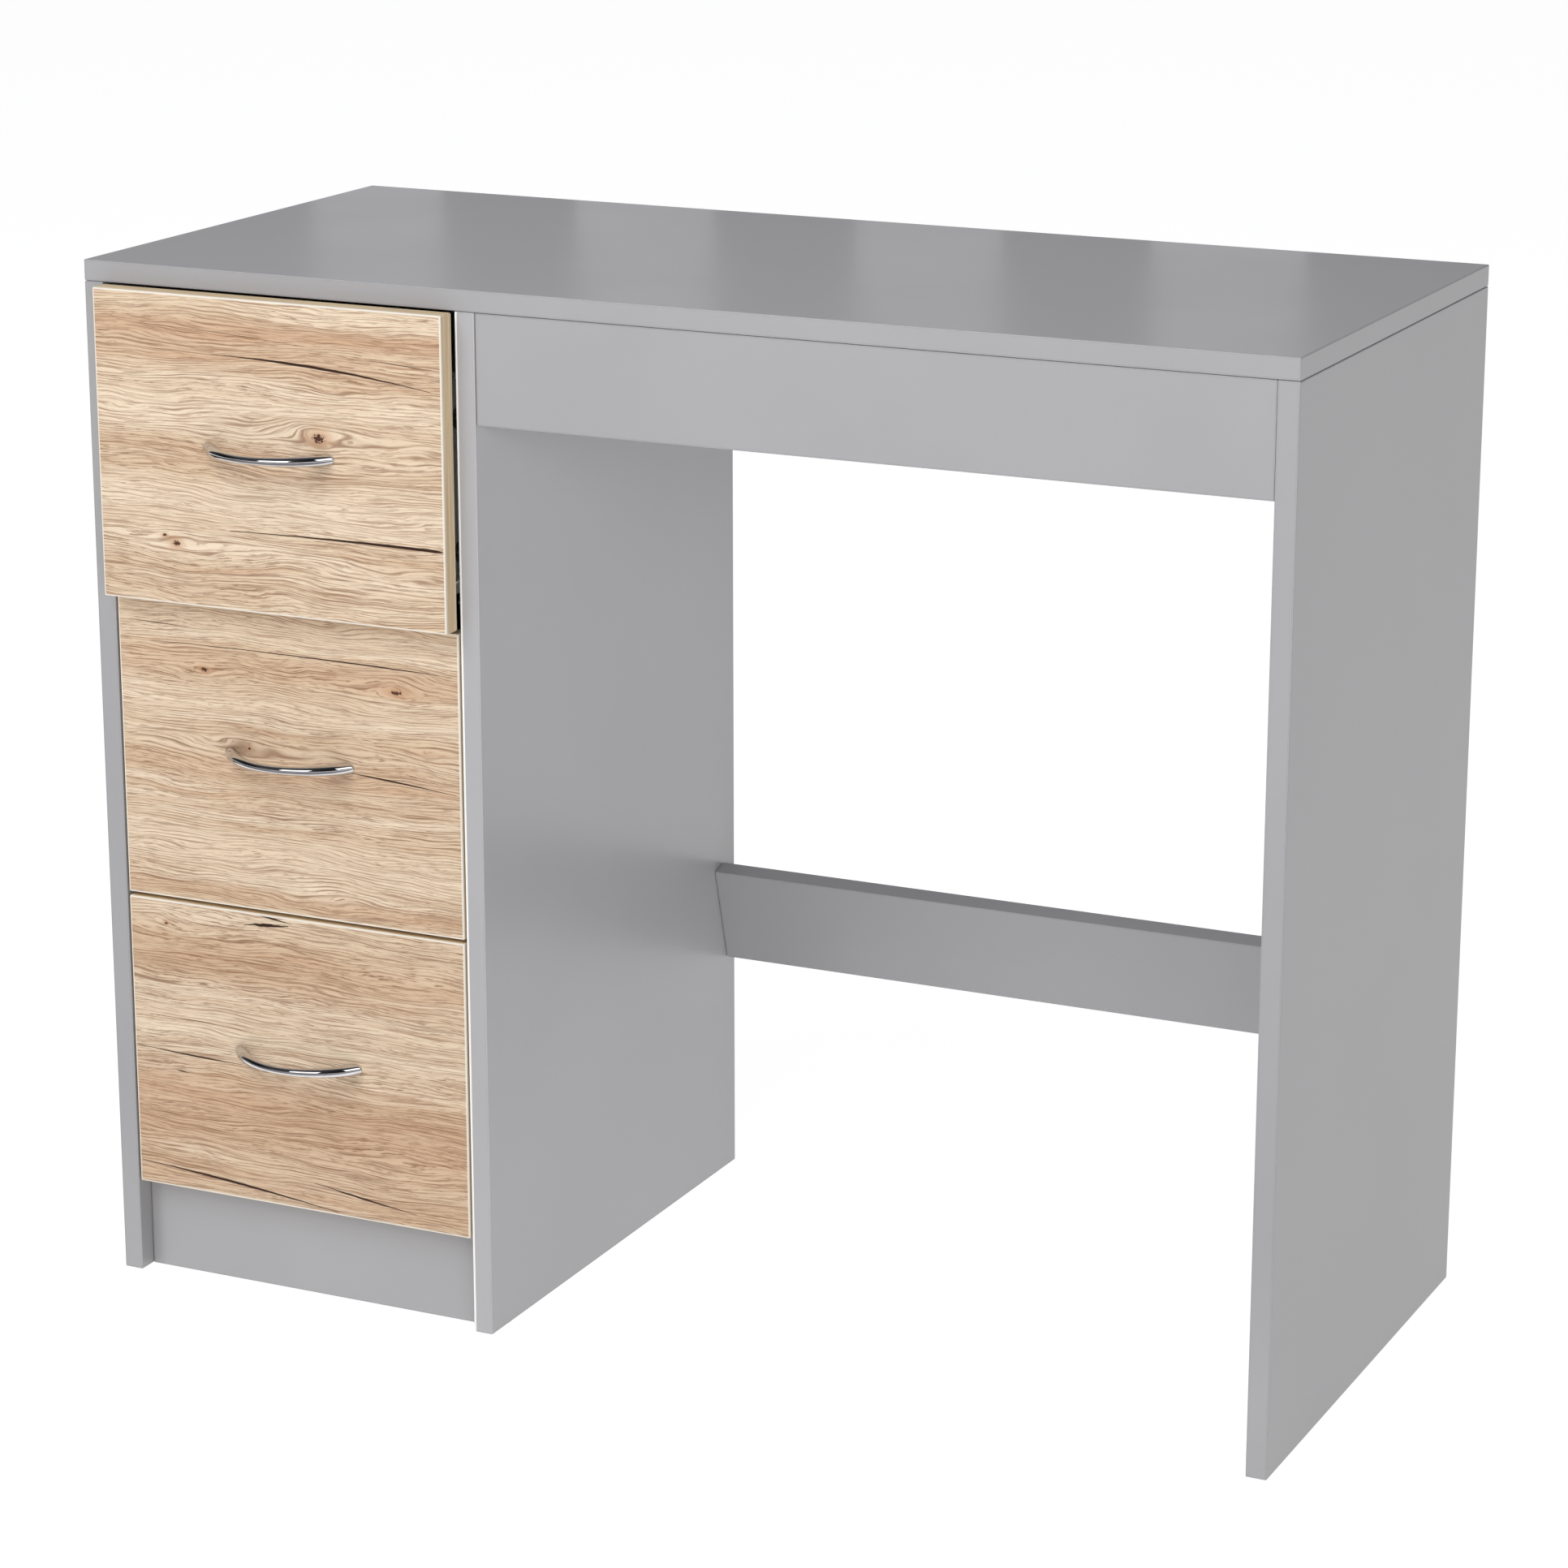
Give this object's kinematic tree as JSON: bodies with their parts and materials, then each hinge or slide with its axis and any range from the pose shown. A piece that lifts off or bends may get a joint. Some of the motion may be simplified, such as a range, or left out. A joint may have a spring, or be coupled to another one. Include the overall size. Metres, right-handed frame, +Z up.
{
  "type": "writing desk",
  "caption": "Writing desk with an open kneehole, a pedestal of drawers on roller runners, bow handles, a front apron and a leaning rear stretcher.",
  "frame": {"origin": "on the floor, under the middle of the outer box with the top drawer slightly open", "axes": "+Z up, the front faces -Y, the pedestal is on the -X side"},
  "size_m": [0.9, 0.4438, 0.76],
  "materials": {
    "grey_foil": "satin grey foil on chipboard",
    "oak_foil": "light oak print foil, satin, on chipboard",
    "white_foil": "white foil on chipboard",
    "hardboard": "white-faced hardboard, brown inside",
    "coated_steel": "white epoxy-coated rolled steel",
    "nylon": "natural nylon",
    "chrome": "polished chrome plate",
    "glide_plastic": "white moulded plastic"
  },
  "bodies": {
    "carcass": {"desk_top": "grey_foil", "left_side_panel": "grey_foil", "middle_side_panel": "grey_foil", "right_end_panel": "grey_foil", "plinth": "grey_foil", "front_apron": "grey_foil", "rear_stretcher": "grey_foil", "pedestal_back_panel": "hardboard", "floor_glide_left_front": "glide_plastic", "floor_glide_left_back": "glide_plastic", "floor_glide_middle_front": "glide_plastic", "floor_glide_middle_back": "glide_plastic", "floor_glide_right_front": "glide_plastic", "floor_glide_right_back": "glide_plastic", "cabinet_runner_top_left": "coated_steel", "cabinet_runner_top_right": "coated_steel", "cabinet_runner_middle_left": "coated_steel", "cabinet_runner_middle_right": "coated_steel", "cabinet_runner_bottom_left": "coated_steel", "cabinet_runner_bottom_right": "coated_steel"},
    "drawer_top": {"drawer_top_front": "oak_foil", "drawer_top_side_left": "white_foil", "drawer_top_side_right": "white_foil", "drawer_top_back": "white_foil", "drawer_top_bottom": "hardboard", "drawer_top_handle": "chrome", "drawer_top_runner_left": "coated_steel", "drawer_top_runner_right": "coated_steel"},
    "drawer_middle": {"drawer_middle_front": "oak_foil", "drawer_middle_side_left": "white_foil", "drawer_middle_side_right": "white_foil", "drawer_middle_back": "white_foil", "drawer_middle_bottom": "hardboard", "drawer_middle_handle": "chrome", "drawer_middle_runner_left": "coated_steel", "drawer_middle_runner_right": "coated_steel"},
    "drawer_bottom": {"drawer_bottom_front": "oak_foil", "drawer_bottom_side_left": "white_foil", "drawer_bottom_side_right": "white_foil", "drawer_bottom_back": "white_foil", "drawer_bottom_bottom": "hardboard", "drawer_bottom_handle": "chrome", "drawer_bottom_runner_left": "coated_steel", "drawer_bottom_runner_right": "coated_steel"},
    "cabinet_roller_top_left": {"cabinet_roller_top_left": "nylon"},
    "drawer_roller_top_left": {"drawer_roller_top_left": "nylon"},
    "cabinet_roller_top_right": {"cabinet_roller_top_right": "nylon"},
    "drawer_roller_top_right": {"drawer_roller_top_right": "nylon"},
    "cabinet_roller_middle_left": {"cabinet_roller_middle_left": "nylon"},
    "drawer_roller_middle_left": {"drawer_roller_middle_left": "nylon"},
    "cabinet_roller_middle_right": {"cabinet_roller_middle_right": "nylon"},
    "drawer_roller_middle_right": {"drawer_roller_middle_right": "nylon"},
    "cabinet_roller_bottom_left": {"cabinet_roller_bottom_left": "nylon"},
    "drawer_roller_bottom_left": {"drawer_roller_bottom_left": "nylon"},
    "cabinet_roller_bottom_right": {"cabinet_roller_bottom_right": "nylon"},
    "drawer_roller_bottom_right": {"drawer_roller_bottom_right": "nylon"}
  },
  "joints": [
    {"name": "drawer_top_slide", "type": "slide", "parent": "carcass", "child": "drawer_top", "axis": [0, -1, 0], "range_m": [-0.016, 0.239]},
    {"name": "drawer_middle_slide", "type": "slide", "parent": "carcass", "child": "drawer_middle", "axis": [0, -1, 0], "range_m": [0, 0.255]},
    {"name": "drawer_bottom_slide", "type": "slide", "parent": "carcass", "child": "drawer_bottom", "axis": [0, -1, 0], "range_m": [0, 0.255]},
    {"name": "cabinet_roller_top_left_spin", "type": "hinge", "parent": "carcass", "child": "cabinet_roller_top_left", "pos_m": [-0.4299, -0.15005, 0.5471], "axis": [1, 0, 0], "continuous": true},
    {"name": "drawer_roller_top_left_spin", "type": "hinge", "parent": "drawer_top", "child": "drawer_roller_top_left", "pos_m": [-0.4276, 0.16025, 0.5465], "axis": [1, 0, 0], "continuous": true},
    {"name": "cabinet_roller_top_right_spin", "type": "hinge", "parent": "carcass", "child": "cabinet_roller_top_right", "pos_m": [-0.1576, -0.15005, 0.5471], "axis": [1, 0, 0], "continuous": true},
    {"name": "drawer_roller_top_right_spin", "type": "hinge", "parent": "drawer_top", "child": "drawer_roller_top_right", "pos_m": [-0.1599, 0.16025, 0.5465], "axis": [1, 0, 0], "continuous": true},
    {"name": "cabinet_roller_middle_left_spin", "type": "hinge", "parent": "carcass", "child": "cabinet_roller_middle_left", "pos_m": [-0.4299, -0.15005, 0.3226], "axis": [1, 0, 0], "continuous": true},
    {"name": "drawer_roller_middle_left_spin", "type": "hinge", "parent": "drawer_middle", "child": "drawer_roller_middle_left", "pos_m": [-0.4276, 0.17625, 0.322], "axis": [1, 0, 0], "continuous": true},
    {"name": "cabinet_roller_middle_right_spin", "type": "hinge", "parent": "carcass", "child": "cabinet_roller_middle_right", "pos_m": [-0.1576, -0.15005, 0.3226], "axis": [1, 0, 0], "continuous": true},
    {"name": "drawer_roller_middle_right_spin", "type": "hinge", "parent": "drawer_middle", "child": "drawer_roller_middle_right", "pos_m": [-0.1599, 0.17625, 0.322], "axis": [1, 0, 0], "continuous": true},
    {"name": "cabinet_roller_bottom_left_spin", "type": "hinge", "parent": "carcass", "child": "cabinet_roller_bottom_left", "pos_m": [-0.4299, -0.15005, 0.0981], "axis": [1, 0, 0], "continuous": true},
    {"name": "drawer_roller_bottom_left_spin", "type": "hinge", "parent": "drawer_bottom", "child": "drawer_roller_bottom_left", "pos_m": [-0.4276, 0.17625, 0.0975], "axis": [1, 0, 0], "continuous": true},
    {"name": "cabinet_roller_bottom_right_spin", "type": "hinge", "parent": "carcass", "child": "cabinet_roller_bottom_right", "pos_m": [-0.1576, -0.15005, 0.0981], "axis": [1, 0, 0], "continuous": true},
    {"name": "drawer_roller_bottom_right_spin", "type": "hinge", "parent": "drawer_bottom", "child": "drawer_roller_bottom_right", "pos_m": [-0.1599, 0.17625, 0.0975], "axis": [1, 0, 0], "continuous": true}
  ],
  "couplings": [
    {"joint": "cabinet_roller_top_left_spin", "follows": "drawer_top_slide", "rad_per_m": 125},
    {"joint": "drawer_roller_top_left_spin", "follows": "drawer_top_slide", "rad_per_m": 125},
    {"joint": "cabinet_roller_top_right_spin", "follows": "drawer_top_slide", "rad_per_m": 125},
    {"joint": "drawer_roller_top_right_spin", "follows": "drawer_top_slide", "rad_per_m": 125},
    {"joint": "cabinet_roller_middle_left_spin", "follows": "drawer_middle_slide", "rad_per_m": 125},
    {"joint": "drawer_roller_middle_left_spin", "follows": "drawer_middle_slide", "rad_per_m": 125},
    {"joint": "cabinet_roller_middle_right_spin", "follows": "drawer_middle_slide", "rad_per_m": 125},
    {"joint": "drawer_roller_middle_right_spin", "follows": "drawer_middle_slide", "rad_per_m": 125},
    {"joint": "cabinet_roller_bottom_left_spin", "follows": "drawer_bottom_slide", "rad_per_m": 125},
    {"joint": "drawer_roller_bottom_left_spin", "follows": "drawer_bottom_slide", "rad_per_m": 125},
    {"joint": "cabinet_roller_bottom_right_spin", "follows": "drawer_bottom_slide", "rad_per_m": 125},
    {"joint": "drawer_roller_bottom_right_spin", "follows": "drawer_bottom_slide", "rad_per_m": 125}
  ]
}
